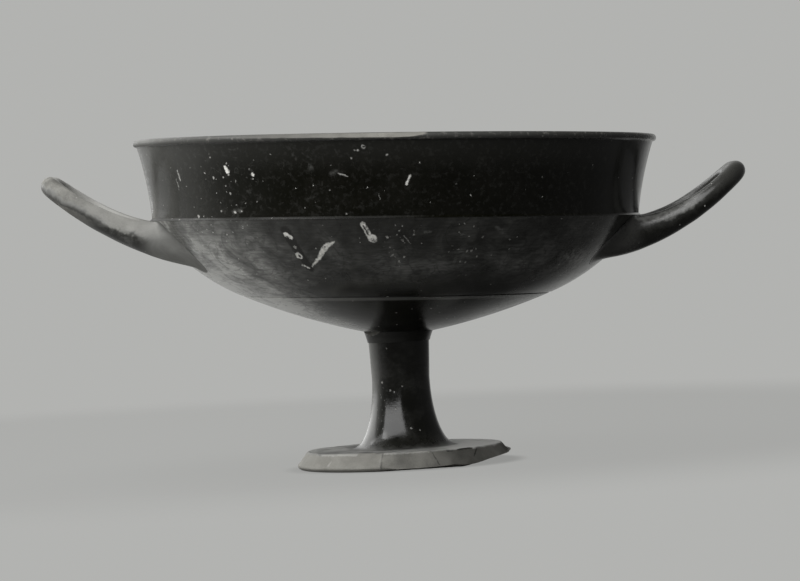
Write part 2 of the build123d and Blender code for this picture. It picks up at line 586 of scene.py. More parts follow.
# Pale clay: for pale marks on the foot's edge, and as painted light lifting the shade inside a handle's
# loop.
pale_marks_and_shade_lift = (0.560, 0.556, 0.530, 1.0)
chip_pale = (0.840, 0.832, 0.790, 1.0)
chip_dark = (0.560, 0.552, 0.515, 1.0)

# Flakes of slip lost from the bowl: both ends as degrees from the front and height above the
# seat, then the half width at each end.
lip_chips = [
    ((3.3, 60.9), (2.5, 57.7), 0.36, 0.38),
    ((-39.9, 65.4), (-39.4, 63.6), 0.55, 0.85),
    ((-32.6, 62.3), (-32.5, 62.1), 0.60, 0.55),
]
faint_marks = [
    ((-56.8, 64.5), (-56.3, 60.8), 0.22, 0.40),
    ((-58.1, 61.3), (-57.6, 58.0), 0.20, 0.10),
    ((-12.2, 62.1), (-10.3, 61.0), 0.26, 0.16),
    ((-3.6, 54.3), (-3.3, 52.3), 0.04, 0.10),
]
bent_chip = [
    ((-22.9, 27.1), (-20.0, 30.1), 0.18, 0.55),
    ((-20.0, 30.1), (-18.0, 33.2), 0.55, 0.95),
    ((-18.0, 33.2), (-16.6, 35.1), 0.95, 0.90),
    ((-16.6, 35.1), (-14.7, 36.3), 0.90, 0.30),
]
slotted_chip = [((-7.3, 42.9), (-6.0, 38.4), 0.85, 1.0), ((-5.5, 37.6), (-5.2, 37.3), 1.5, 1.4)]
scar_chips = [
    ((-26.2, 39.5), (-25.2, 38.3), 0.85, 0.75),
    ((-25.2, 31.3), (-24.9, 31.0), 1.15, 1.05),
    ((-25.5, 27.6), (-24.9, 27.3), 0.25, 0.35),
    ((-24.4, 26.9), (-23.9, 26.5), 0.35, 0.25),
]
# The dark scar round those flakes.
scar_mark = ((-25.9, 40.5), (-23.8, 26.7), 2.0, 1.7, 0.5)
scratches = [((1.9, 38.3), (3.5, 35.4), 0.12, 0.04), ((-0.6, 31.4), (-1.3, 30.8), 0.14, 0.10)]

# Small round flakes: degrees from the front, height above the seat and radius.
lip_spots = [
    (-39.3, 66.7, 0.30), (-39.2, 62.3, 0.38), (-40.9, 61.4, 0.26), (-33.3, 64.3, 0.22),
    (-32.7, 60.7, 0.22), (-44.0, 61.4, 0.46), (-46.6, 63.1, 0.22),
    (-40.6, 58.2, 0.25), (-39.5, 55.2, 0.42), (-38.7, 48.1, 0.50), (-36.8, 48.4, 0.30),
    (-42.9, 48.7, 0.25), (-51.0, 46.7, 0.55), (-43.9, 69.3, 0.20), (-9.2, 67.6, 0.28),
    (-7.8, 70.6, 0.38), (-8.5, 70.6, 0.20), (-6.5, 71.9, 0.70), (-1.6, 68.8, 0.30),
    (-14.4, 55.9, 0.18), (-10.8, 46.9, 0.25), (16.8, 53.2, 0.28), (34.1, 59.8, 0.18),
]
bowl_spots = [
    (-25.1, 34.5, 0.60), (-1.9, 37.9, 0.42), (0.8, 40.3, 0.36), (1.5, 42.0, 0.22), (0.3, 38.7, 0.22),
    (1.5, 36.9, 0.30), (4.2, 40.1, 0.24), (4.2, 38.8, 0.30), (2.1, 30.3, 0.32), (0.8, 28.7, 0.24),
    (20.8, 37.5, 0.32), (17.9, 32.2, 0.35), (19.0, 32.3, 0.42), (20.0, 33.1, 0.22), (21.0, 30.1, 0.30),
    (16.9, 28.1, 0.28), (18.5, 27.8, 0.26), (13.2, 32.1, 0.20), (29.3, 32.8, 0.22),
]

# Slip that is still there inside those flakes.
slip_islands = [
    ((-7.2, 42.3), (-6.3, 39.2), 0.30, 0.36),
    ((-25.95, 38.5), (-25.7, 38.1), 0.40, 0.35),
    ((-25.0, 31.1), (-24.9, 31.0), 0.50, 0.45),
    ((-6.5, 71.9), (-6.4, 71.9), 0.40, 0.40),
]

# Blurred grey smears in the slip: as the flakes, then how far each one is blurred.
smears = [
    ((59.1, 27.6), (62.3, 34.0), 0.30, 0.20, 0.5),
    ((62.4, 33.7), (62.8, 37.5), 0.40, 0.60, 1.5),
    ((54.9, 28.5), (55.3, 32.0), 0.40, 0.30, 0.8),
    ((50.0, 30.0), (61.0, 28.2), 1.50, 1.50, 4.0),
    ((-36.0, 38.5), (-33.0, 35.5), 0.80, 0.40, 1.6),
    ((6.7, 39.7), (8.1, 39.8), 0.30, 0.30, 0.5),
    ((15.4, 38.5), (16.4, 38.9), 0.25, 0.25, 0.5),
    ((23.5, 41.2), (25.5, 39.3), 0.40, 0.35, 0.8),
    ((-18.8, 65.6), (-18.4, 64.6), 0.50, 0.40, 1.4),
    ((-39.0, 48.2), (-37.0, 48.6), 0.40, 0.30, 1.4),
    ((-13.8, 62.0), (-12.8, 62.8), 0.20, 0.20, 1.2),
]

# Marks on the stem, as the small round flakes, a scuffed strip of it, as the smears, and marks on
# the foot's edge, as the flakes or the smears.
stem_spots = [
    (-40.0, 33.5, 0.42), (2.0, 31.8, 0.26), (-22.0, 30.2, 0.30), (-14.0, 29.6, 0.20),
    (-24.0, 47.0, 0.22), (12.0, 15.0, 0.30), (26.0, 14.0, 0.25), (-12.0, 23.0, 0.24),
]
stem_scuff = ((-45.0, 32.0), (-38.0, 17.0), 1.5, 3.0, 3.0)
foot_pale_marks = [
    ((-14.2, 6.8), (-13.6, 1.0), 0.05, 0.14),
    ((-45.6, 3.0), (-44.8, 4.2), 0.45, 0.10, 0.5),
    ((-62.0, 6.7), (-30.0, 6.7), 0.45, 0.45),
    ((-12.0, 6.8), (14.0, 6.8), 0.35, 0.25),
]
# Dark cracks in the foot's edge. The two strokes along its top at the right are a painted shadow under
# the broken top's overhang.
foot_cracks_and_shadow_line = [
    ((-13.0, 6.6), (-12.6, 1.2), 0.12, 0.14),
    ((25.0, 6.6), (40.0, 6.75), 0.40, 0.28),
    ((40.0, 6.75), (52.0, 6.8), 0.24, 0.03),
    ((45.5, 6.3), (41.5, 3.6), 0.34, 0.22),
    ((16.0, 6.2), (18.5, 1.6), 0.10, 0.22),
]

# Where small flecks crowd together: as the smears.
fleck_crowds = [
    ((-1.5, 40.0), (2.5, 29.0), 3.0, 3.0, 4.0),
    ((15.0, 41.0), (18.5, 28.0), 3.0, 3.0, 4.0),
    ((-50.0, 60.0), (-34.0, 52.0), 5.0, 4.0, 7.0),
    ((-58.0, 38.0), (-38.0, 40.0), 4.0, 4.0, 6.0),
]


class Finish(Nodes):
    """A material for one finish, with places in millimetres."""

    def __init__(self, name, girth=90.0, shift=(0, 0, 0), turn=(0, 0, 0)):
        """Shift and turn give the frame that the places are seen from."""
        self.material = bpy.data.materials.new(name)
        self.material.use_nodes = True
        self.material.node_tree.nodes.clear()
        super().__init__(self.material.node_tree)
        self.girth = girth
        sockets = {"Vector": self.node("ShaderNodeTexCoord")["Object"], "Rotation": turn}
        sockets.update({"Location": [MM * c for c in shift], "Scale": (MM, MM, MM)})
        self.where = self.node("ShaderNodeMapping", {"vector_type": "TEXTURE"}, sockets)["Vector"]
        self.x, self.y, self.z = self.split(self.where)

    def grain(self, scale, detail=3.0, rough=0.5, twist=0.0):
        return self.noise(self.where, scale, detail, rough, twist)

    def share(self, name):
        return self.node("ShaderNodeAttribute", {"attribute_name": name})["Fac"]

    def around(self):
        """Place on a pot: angle from the front, height and radius."""
        x, y = self.x, self.y
        return x.math("ARCTAN2", x, 0.0 - y), self.z, (x * x + y * y) ** 0.5

    def unrolled(self, angle, height):
        """The place on the pot's wall, laid flat."""
        return self.join(angle * self.girth, height, 0.0)

    def ragged(self, where, scale, reach):
        """The place, shaken so that what is drawn there gets a ragged edge."""
        spread = self.noise(where, scale, 4.0, 0.6, output="Color")
        shake = self.vector("SUBTRACT", spread, (0.5, 0.5, 0.5))
        return self.vector("ADD", where, self.vector("SCALE", shake, scale=reach))

    def specks(self, where, scale, size, share):
        """Small flecks in some of the cells of a random pattern."""
        cell = self.node("ShaderNodeTexVoronoi", None, {"Vector": where, "Scale": scale})
        chance, strength, _ = self.split(cell["Color"])
        flecks = cell["Distance"].step(size, 0.6 * size) * chance.step(1.0 - share, 1.0 - 0.8 * share)
        return flecks * strength.level(0.25, 1.0)

    def strays(self):
        """A few single flecks."""
        return self.specks(self.ragged(self.where, 1.3, 1.1), scale=0.30, size=0.12, share=0.25)

    def stroke(self, where, start, end, width, end_width, soft=0.25):
        """A mark on the unrolled pot from start to end, each given as degrees and height."""
        first = np.array((radians(start[0]) * self.girth, start[1], 0.0))
        run = np.array((radians(end[0]) * self.girth, end[1], 0.0)) - first
        offset = self.vector("SUBTRACT", where, tuple(first))
        along = self.vector("DOT_PRODUCT", offset, tuple(run / (run @ run))).clamped()
        foot = self.vector("SCALE", tuple(run), scale=along)
        gap = self.vector("DISTANCE", offset, foot)
        return (gap - along.level(width, end_width)).step(soft, -soft)

    def strokes(self, where, marks):
        """Several marks laid over each other."""
        total = 0.0
        for mark in marks:
            total = self.stroke(where, *mark) | total
        return total

    def spots(self, where, marks, soft=0.25):
        """Round marks on the unrolled pot."""
        total = 0.0
        for degrees, height, radius in marks:
            centre = (radians(degrees) * self.girth, height, 0.0)
            gap = self.vector("DISTANCE", where, centre)
            total = gap.step(radius + soft, radius - soft) | total
        return total

    def bump(self, height, distance):
        sockets = {"Strength": 1.0, "Distance": distance * MM, "Height": height}
        return self.node("ShaderNodeBump", None, sockets)["Normal"]

    def surface(self, colour, roughness, normal, shine=0.5):
        sockets = {"Base Color": colour, "Roughness": roughness, "Normal": normal}
        sockets["Specular IOR Level"] = shine
        shader = self.node("ShaderNodeBsdfPrincipled", None, sockets)["BSDF"]
        self.node("ShaderNodeOutputMaterial", None, {"Surface": shader})
        return self.material

    def clay(self, low=clay_dark, high=clay_pale):
        """Colour of bare fired clay."""
        grain = self.grain(1.6, 4.0, 0.6)
        cloud = self.grain(0.14, 3.0)
        return self.mix((0.3 * grain + 0.7 * cloud).step(0.30, 0.70), low, high)

    def slip(
        self, film, worn, chips, streaks, pits, dull=0.0, clay=None, shine=0.5, dust_and_glare=haze_and_glare_grey
    ):
        """Black slip: grey where film is 1, which is haze and in places painted reflection, rubbed off
        where worn is 1, flaked off where chips is 1.
        """
        cloud = self.grain(0.055, 3.0, 0.55)
        fine = self.grain(0.8, 4.0, 0.6)
        thin = (0.6 * cloud + 0.4 * fine).step(0.38, 0.68)
        colour = self.mix(thin, slip_deep, slip_thin)
        colour = self.mix(film, colour, dust_and_glare)
        colour = self.mix(worn, colour, clay or self.clay())
        colour = self.mix(chips, colour, self.mix(fine.step(0.35, 0.60), chip_dark, chip_pale))
        gloss = thin.level(0.13, 0.24) + 0.05 * film + 0.04 * streaks + dull
        roughness = (worn | chips).level(gloss, 0.82)
        peel = self.grain(0.35, 2.0)
        height = 0.45 * peel + 0.12 * fine + 0.35 * streaks - 1.1 * pits
        return self.surface(colour, roughness, self.bump(height, 0.08), shine)


def lip_haze_and_glare(finish, height, left, wear):
    """Grey film on the lip: haze, most at its left end and under the rim. At the left end it is also
    painted reflection of the bright left side.
    """
    smudges = finish.grain(0.24, 5.0, 0.7, 1.0).step(0.56, 0.74)
    under_rim = height.step(60.0, 74.0)
    # Painted reflection: the lip's left end is greyed as if reflecting the bright left side.
    haze = 0.13 * left.step(0.58, 1.05)
    haze = haze + 0.12 * smudges * left.step(0.0, 0.6).level(0.3, 1.0)
    haze = haze + 0.045 * under_rim + 0.03 * wear.step(0.52, 0.66)
    return haze + 0.14 * left.step(0.82, 0.95) * under_rim


def belly_haze_and_glare(finish, angle, height, across, left, low):
    """Grey film below the lip: clouded, veined, swept round by the turning, most at the left. At the left
    and lower left limb it is mostly painted reflection, a glare of the bright left side.
    """
    clouds = finish.grain(0.045, 3.0, 0.55, 0.8).step(0.36, 0.64)
    blotches = finish.grain(0.12, 4.0, 0.65, 0.6).step(0.34, 0.66)
    vein = finish.grain(0.055, 2.0, 0.5, 1.6).near(0.5, 0.026, 0.006)
    swept = finish.join(0.18 * angle * finish.girth, 1.3 * height, 0.0)
    wisps = finish.noise(swept, 1.0, 4.0, 0.6).step(0.35, 0.65)
    haze = 0.05 * height.step(18.0, 27.0) + 0.07 * height.near(29.0, 13.0, 3.0)
    # Painted reflection: grey that rises steeply towards the left limb and most on the underside, as a
    # glare of the bright left side.
    haze = haze + left**4.0 * (0.75 + 1.15 * low)
    haze = haze + 0.07 * across.step(0.05, 0.55) * height.step(16.0, 26.0)
    haze = haze * (1.0 - 0.35 * vein) * clouds.level(0.55, 1.45)
    return haze * blotches.level(0.6, 1.4) * wisps.level(0.75, 1.25)


def bowl_finish():
    """Slip of the bowl: flaked and scratched in front, rubbed at the rim, dull where it is soiled, with
    painted reflection greying its left side, its underside and its bead.
    """
    finish = Finish("black_slip_bowl", shift=bowl_seat, turn=(0, bowl_lean, 0))
    angle, height, radius = finish.around()
    outer = finish.share("outer_face")
    unrolled = finish.unrolled(angle, height)
    drawn = finish.ragged(finish.ragged(unrolled, 0.9, 1.3), 2.2, 0.6)
    shaken = finish.ragged(finish.where, 0.9, 2.0)
    wear = finish.grain(0.5, 4.0, 0.65)
    across = finish.x / radius
    left = (0.0 - across).clamped()
    line_foot = turned_line[1] - 0.8
    low = height.step(crease[1], line_foot)

    chips = finish.strokes(drawn, lip_chips + bent_chip + slotted_chip + scar_chips)
    chips = chips | 0.5 * finish.strokes(drawn, faint_marks + scratches)
    chips = chips | 0.55 * finish.spots(drawn, lip_spots + bowl_spots)
    chips = chips * (1.0 - finish.strokes(drawn, slip_islands))
    chips = chips * wear.step(0.36, 0.46).level(0.3, 1.0)
    flecks = finish.specks(shaken, scale=0.50, size=0.18, share=0.45)
    flecks = flecks * finish.strokes(unrolled, fleck_crowds)
    strays = finish.specks(shaken, scale=0.30, size=0.10, share=0.25)
    flaked = (chips * outer | flecks * outer | 0.7 * strays).clamped()

    bead = height.near(bead_height, 1.6, 0.9)
    # Rubbed slip on the bead: partly real wear, partly a painted reflection of the pale room, which makes
    # the bead paler.
    rubbed = 0.5 * bead * wear.step(0.53, 0.68)
    pits = 0.7 * strays | rubbed
    worn = (finish.share("bare") | rubbed).clamped()

    on_bowl = height.step(shoulder[1], shoulder[1] - 0.4)
    scar = finish.stroke(drawn, *scar_mark)
    belly = belly_haze_and_glare(finish, angle, height, across, left, low) * (1.0 - 0.9 * scar)
    film = on_bowl.level(lip_haze_and_glare(finish, height, left, wear), belly)
    # The grey film on the bead is a painted reflection of the pale room.
    film = film + 0.2 * height.near(line_foot, 0.8, 0.4) + 0.1 * bead
    smeared = finish.strokes(drawn, smears) * wear.step(0.36, 0.60)
    film = (film + across.step(0.6, 0.85).level(0.32, 0.75) * smeared) * outer
    # Painted glare: the film turns paler on the underside, as a reflection of the bright table below.
    dust_and_glare = finish.mix(low, haze_and_glare_grey, dust_and_glare_pale)

    streaks = finish.rings(height + 0.02 * radius, 2.4) * low.level(0.35, 1.0)
    step_middle = (shoulder[1] + crease[1]) / 2
    dull = 0.5 * height.near(step_middle, 0.6, 0.4) * left.step(0.75, 0.9) * outer
    dull = dull + 0.35 * bead * across.step(0.75, 0.35)
    dull = dull + 0.25 * height.near(19.5, 6.0, 3.0) * across.near(0.42, 0.32, 0.2)
    return finish.slip(film.clamped(), worn, flaked, streaks, pits, dull, shine=0.3, dust_and_glare=dust_and_glare)


def stem_finish():
    """Slip of stem and foot: dusty and matt on the foot, rubbed to the clay at its edge and below. Grey
    at its left limb and pale on the foot's right as painted glare.
    """
    finish = Finish("black_slip_stem", stem_top_radius)
    angle, height, radius = finish.around()
    wobble = finish.grain(0.25, 3.0, 0.6) - 0.5
    edge = radius.step(37.8, 39.6) * (height + 2.2 * wobble).step(7.3, 6.3)
    taper = (hollow_radius - hollow_top_radius) / (hollow_height - hollow_top_radius)
    cone = hollow_radius - height * taper
    below = (height + 0.3 * wobble).step(0.5, 0.1) | (radius - cone).step(0.8, 0.3)
    worn = (edge | below | finish.share("bare")).clamped()

    unrolled = finish.unrolled(angle, height)
    on_stem = radius.step(26.0, 22.0)
    scuffs = finish.specks(finish.ragged(finish.where, 0.9, 2.2), scale=0.75, size=0.24, share=0.55)
    scuffs = scuffs * finish.stroke(unrolled, *stem_scuff) * on_stem
    nicks = finish.spots(finish.ragged(unrolled, 0.9, 0.8), stem_spots) * on_stem
    chips = (0.5 * scuffs | 0.42 * nicks).clamped()

    smear = finish.grain(0.1, 3.0, 0.6)
    # Painted glare: the stem's left limb and flare are greyed as a reflection of the bright background.
    painted_left_glare = ((0.0 - finish.x) / radius).step(0.6, 1.0) * height.step(6.0, 15.0)
    # Painted glare: the right of the foot's top is dusted pale as a grazing reflection of the bright
    # background, which also lifts the bowl's shadow there.
    right_foot_glare = finish.x.step(8.0, 26.0)
    dusty = (radius + 6.0 * wobble).step(18.0, 25.0)
    film = 0.05 * smear.step(0.45, 0.70) + 0.5 * painted_left_glare + 0.04 * height.step(15.0, 8.0)
    film = film + 0.65 * dusty * smear.step(0.25, 0.60) + 1.2 * dusty * right_foot_glare
    dust_and_glare = finish.mix(right_foot_glare, haze_and_glare_grey, dust_and_glare_pale)
    matt = 0.45 * (radius + 4.0 * wobble).step(16.5, 22.5)
    streaks = 0.3 * finish.rings(height, 1.6)
    clay = foot_clay(finish, angle, height)
    return finish.slip(film.clamped(), worn, chips, streaks, chips, matt, clay, dust_and_glare=dust_and_glare)


def foot_clay(finish, angle, height):
    """Clay of the foot's broken edge: paler at the left and darker to the right as painted shade, as if
    lit from the left, and cracked at the right.
    """
    finish.girth = foot_radius
    around = finish.ragged(finish.unrolled(angle, height), 0.7, 1.4)
    degrees = finish.split(around)[0] / radians(finish.girth)
    right_end = degrees.step(44.0, 60.0)
    # Painted shade: the clay darkens in steps towards the right, as if lit from the left, and less at the
    # broken right end.
    shade = 0.6 * degrees.step(-14.4, -13.4) + 0.7 * degrees.step(8.0, 24.0)
    shade = (shade * (1.0 - 0.7 * right_end)).clamped()
    colour = finish.mix(shade, finish.clay(), finish.clay(clay_deep_and_shade, clay_dark))
    colour = finish.mix(0.5 * degrees.step(10.0, 22.0) * (1.0 - right_end), colour, clay_deep_and_shade)
    colour = finish.mix(0.3 * finish.strokes(around, foot_pale_marks), colour, pale_marks_and_shade_lift)
    return finish.mix(0.85 * finish.strokes(around, foot_cracks_and_shadow_line), colour, slip_deep)


def collar_finish():
    """Slip of the collar, rubbed at its top edge."""
    finish = Finish("black_slip_collar", stem_top_radius)
    rub = finish.grain(0.7, 4.0, 0.65)
    top_edge = finish.z.step(52.2, 53.4)
    worn = (0.5 * top_edge * rub.step(0.58, 0.70) | 0.6 * finish.share("bare")).clamped()
    film = 0.02 * finish.grain(0.1, 3.0).step(0.4, 0.7)
    return finish.slip(film, worn, 0.5 * finish.strays(), 0.3 * rub, worn, shine=0.3)


def handle_finish(name, rubbed_down_to, lower_haze, upper_haze_and_highlight, inner_rub, root_haze):
    """Slip that is rubbed off a handle inside its loop, and from the top down to a level on its section.
    A grey band on the upper front is partly haze and partly painted highlight, and the clay inside the
    loop is made paler as painted light that lifts its shade.

    out is the distance from the stem's axis: the roots are at about 90, the tip at about 135.
    """
    finish = Finish(name)
    upper = finish.share("upper_side")
    patch = finish.grain(0.13, 4.0, 0.6, 0.5)
    rub = finish.grain(0.5, 4.0, 0.6)
    level = upper + 1.6 * (patch - 0.5) + 0.5 * (rub - 0.5)
    out = finish.x.absolute()
    near_root = out.step(105.0, 90.0)
    near_tip = out.step(112.0, 132.0)

    kept = 0.45 * out.step(106.0, 122.0) * upper.step(0.8, 0.45) + 0.5 * out.step(104.0, 94.0)
    soft = 0.18 + 0.3 * near_root
    worn = (level - kept).step(rubbed_down_to - soft, rubbed_down_to + soft)
    inner = inner_rub * finish.share("inner_side").step(-0.05, 0.4) * out.step(99.0, 108.0)
    worn = worn * (1.0 - 0.65 * near_root) | inner
    worn = worn | 0.75 * inner_rub * out.step(114.0, 126.0) * level.step(-0.25, -0.5)

    film = lower_haze * (patch + 0.5 * upper).step(0.20, 0.65)
    # Painted highlight, partly haze: a grey band along the handle's upper front, where the window's
    # highlight falls.
    topside = 0.5 * level + 0.5 * upper - 0.45 * out.step(110.0, 98.0)
    haze_and_highlight_band = topside.step(-0.05, 0.25) * upper.step(1.0, 0.85) * out.step(126.0, 116.0)
    film = film | upper_haze_and_highlight * haze_and_highlight_band * rub.step(0.35, 0.65).level(0.6, 1.0)
    film = film | root_haze * out.step(101.0, 92.0) * patch.level(0.5, 1.5)

    strays = 0.7 * finish.strays()
    clay = finish.clay(rubbed_dark, rubbed_pale)
    clay = finish.mix(0.9 * near_tip, clay, finish.clay(clay_deep_and_shade, clay_pale))
    # Painted light: the clay inside the left handle's loop is made paler to lift the shade on its inner
    # face.
    clay = finish.mix(0.6 * inner, clay, pale_marks_and_shade_lift)
    dull = 0.08 + inner_rub * (0.3 * near_tip + 0.5 * near_root)
    return finish.slip(film, worn, strays, rub, 0.3 * worn | strays, dull, clay)


def clay_finish():
    """Bare luting clay, hidden under the collar."""
    finish = Finish("fired_clay")
    grain = finish.grain(1.4, 5.0, 0.65)
    return finish.surface(finish.clay(), grain.level(0.7, 0.9), finish.bump(grain, 0.2))


turning = turning_tree()
coiling = coiling_tree()


# Bowl.

bowl_line = bowl_outline()
seat_points = 3
wall_line = bowl_line[seat_points : np.argmax(bowl_line[:, 1]) + 1]
wall_line = wall_line[np.argsort(wall_line[:, 1])]


def wall_radius(heights):
    """Outer radius of the bowl at a height above its seat."""
    return np.interp(heights, wall_line[:, 1], wall_line[:, 0])


def outside(points):
    """How far points lie outside the bowl's wall, in the bowl's frame."""
    return np.hypot(points[:, 0], points[:, 1]) - wall_radius(points[:, 2])


def flaked_rim(points):
    """The long flake lost from the front of the rim: a slope that is deepest at its right end."""
    angle = np.degrees(np.arctan2(points[:, 0], -points[:, 1]))
    reach = np.hypot(points[:, 0], points[:, 1])
    along = np.clip((angle - flake_left) / (flake_right - flake_left), 0, 1)
    inside = (angle > flake_left) & (angle < flake_right)
    run_out = np.clip((flake_right - angle) / flake_taper, 0, 1) ** 0.6
    depth = inside * flake_depth * along**0.8 * run_out * (1 + 0.25 * rough(points, size=4.0))
    diagonal = 2**0.5
    slope = (reach - lip_top[0] + points[:, 2] - bead_height) / diagonal
    beyond = np.maximum(slope - (bead_radius - depth), 0) * (depth > 0.05)
    points = points.copy()
    points[:, :2] *= (1 - beyond / diagonal / reach)[:, None]
    points[:, 2] -= beyond / diagonal
    return points, (beyond > 0.02) * np.minimum(1.3 * along**1.6, 1.0)


# Nicks of the rim, as the flakes of struck, with their origin on the axis at a depth below the rim.
rim_nicks = [(62, 20, 107.3, 0.3), (91, 25, 106.0, 0.3), (150, 25, 105.9, 0.3), (-150, 20, 107.2, 0.3)]
rim_nick_depth = 27.0
# How far below the rim a point may be struck, and how deep in the wall it counts as outer face.
rim_zone = 2.6
outer_skin = 1.5


def make_bowl():
    bowl, points = spun(
        "thrown_bowl", bowl_line, bowl_finish(),
        segments=360, ridge_depth=0.05, ridge_pitch=1.8, out_of_round=0.25,
    )
    outer = outside(points) > -outer_skin
    high = points[:, 2] > rim_height - rim_zone
    below_rim = (0, 0, rim_height - rim_nick_depth)
    nicked, bare = struck(points[high] - below_rim, rim_nicks)
    worn = np.zeros(len(points))
    points[high], flaked = flaked_rim(nicked + below_rim)
    worn[high] = np.maximum(bare, flaked)
    points = points @ bowl_turn.T + bowl_seat
    finish_piece(bowl, points, {"outer_face": outer, "bare": worn}, "bowl")


# Stem and foot, collar.

# The planes of the foot's breaks and of the collar's nicks, as the flakes of struck.
foot_flakes = [
    (100, -77.0, 24.0 * sin(radians(13)), 0.18),
    (80, -77.0, 6.4, 0.15),
    (10, -75.5, 37.6 * sin(radians(14.5)), 0.15),
    (-125, -70, 39.6 * sin(radians(20)), 0.2),
    (165, 42, 33.9, 0.25),
    (-138, 50, 29.6, 0.3),
    (-24, 50, 29.0, 0.12),
    (8, 25, 38.0, 0.10),
    (38, 32, 36.6, 0.15),
]
collar_nicks = [(-57, 30, 37.6, 0.2), (120, 30, 38.0, 0.15)]


def make_stem():
    stem, points = spun(
        "stem_with_foot", stem_outline(), stem_finish(),
        segments=288, ridge_depth=0.04, ridge_pitch=2.2, out_of_round=0.12,
    )
    foot = points[:, 2] < foot_height + 1.0
    bare = np.zeros(len(points))
    points[foot], bare[foot] = struck(points[foot], foot_flakes)
    points[:, 2] = np.maximum(points[:, 2], 0)
    finish_piece(stem, points, {"bare": bare}, "stem_foot")


def make_collar():
    """The ring's top is sheared onto the leaning seat before its nicks are struck."""
    collar, points = spun(
        "stem_ring", collar_outline(), collar_finish(),
        segments=224, ridge_depth=0.03, ridge_pitch=1.2, out_of_round=0.08,
    )
    seat_plane = seat_height - tan(bowl_lean) * (points[:, 0] - bowl_shift) - seat_gap
    share = (points[:, 2] - collar_height) / (seat_height - collar_height)
    points[:, 2] = collar_height + share * (seat_plane - collar_height)
    points, bare = struck(points, collar_nicks)
    finish_piece(collar, points, {"bare": bare}, "stem_collar")


# Handles.

def respaced(points, count, cut=0.0):
    """A run of points, evenly spaced again, with a length cut off its end."""
    way = np.concatenate(([0], np.cumsum(np.linalg.norm(np.diff(points, axis=0), axis=1))))
    stops = np.linspace(0, way[-1] - cut, count)
    return np.column_stack([np.interp(stops, way, column) for column in points.T])


def coil_path(reach, rise):
    """Points and radii along a handle on the right, from its front root to its back root."""
    tip = crease[0] + reach
    run = unit(np.array((tip - handle_start, handle_root_half - handle_tip_half)))
    turn = pi / 2 + atan2(run[1], run[0])
    set_back = handle_corner * tan((pi - turn) / 2)
    corner = np.array((tip, -handle_tip_half))
    bend_start = corner - run * set_back
    bend_end = corner + (0, set_back)
    leg = line((handle_start, -handle_root_half), bend_start, count=40)
    centre = bend_start + np.array((-run[1], run[0])) * handle_corner
    first = atan2(*(bend_start - centre)[::-1])
    last = atan2(*(bend_end - centre)[::-1])
    sweep = np.linspace(first, last, 40)
    bend = centre + handle_corner * np.column_stack((np.cos(sweep), np.sin(sweep)))
    half = np.vstack((joined(leg, bend), (tip, 0.0)))
    plan = respaced(joined(half, (half * (1, -1))[::-1]), coil_points)
    curl = (rise + handle_root_drop - handle_root_slope * reach) / reach**2
    out = plan[:, 0] - crease[0]
    height = crease[1] - handle_root_drop + handle_root_slope * out + curl * out**2
    share = (tip - plan[:, 0]) / reach
    diameter = handle_tip_diameter + (handle_root_diameter - handle_tip_diameter) * share**2
    return np.column_stack((plan, height)), diameter / 2


def luted(rings):
    """Ends each line of a coil on the bowl's wall with a smear of luting clay, below the shoulder.

    rings holds points by ring and by line, from the middle of the handle to one root.
    """
    count, lines, _ = rings.shape
    centres = rings.mean(axis=1)
    highest = shoulder[1] - 0.3
    probe = 0.2
    level = np.array((1, 1, 0))
    up = np.array((0, 0, 1))
    result = np.empty_like(rings)
    for number in range(lines):
        strand = rings[:, number]
        gap = outside(strand)
        entry = int(np.argmax(gap < 0))
        share = gap[entry - 1] / (gap[entry - 1] - gap[entry])
        corner = strand[entry - 1] + share * (strand[entry] - strand[entry - 1])
        free = np.vstack((strand[:entry], corner))
        straight = respaced(free, count - smear_rings, cut=smear_length)
        flare = (wall_radius(corner[2] + probe) - wall_radius(corner[2] - probe)) / (2 * probe)
        normal = unit(unit(corner * level) - flare * up)
        away = corner - centres[entry]
        away = unit(away - normal * (away @ normal))
        reach = smear_spread * (1 + 0.35 * noise.noise(Vector(corner) / 5.0))
        foot = corner + away * reach
        if foot[2] > highest:
            room = max(highest - corner[2], 0.0)
            foot = corner + away * reach * room / (foot[2] - corner[2])
        foot = unit(foot * level) * (wall_radius(foot[2]) - smear_depth) + foot * up
        smear = bezier(straight[-1], corner, foot, count=smear_rings + 1)
        result[:, number] = joined(straight, smear)
    return result


# Name of the finish, level down to which it is rubbed, haze below, haze and painted highlight above,
# rub inside the loop and haze at the roots.
handle_wear = {
    "left": ("worn_slip_handle", -0.15, 0.5, 0.0, 1.0, 0.48),
    "right": ("black_slip_handle", 2.8, 0.10, 0.6, 0.0, 0.16),
}


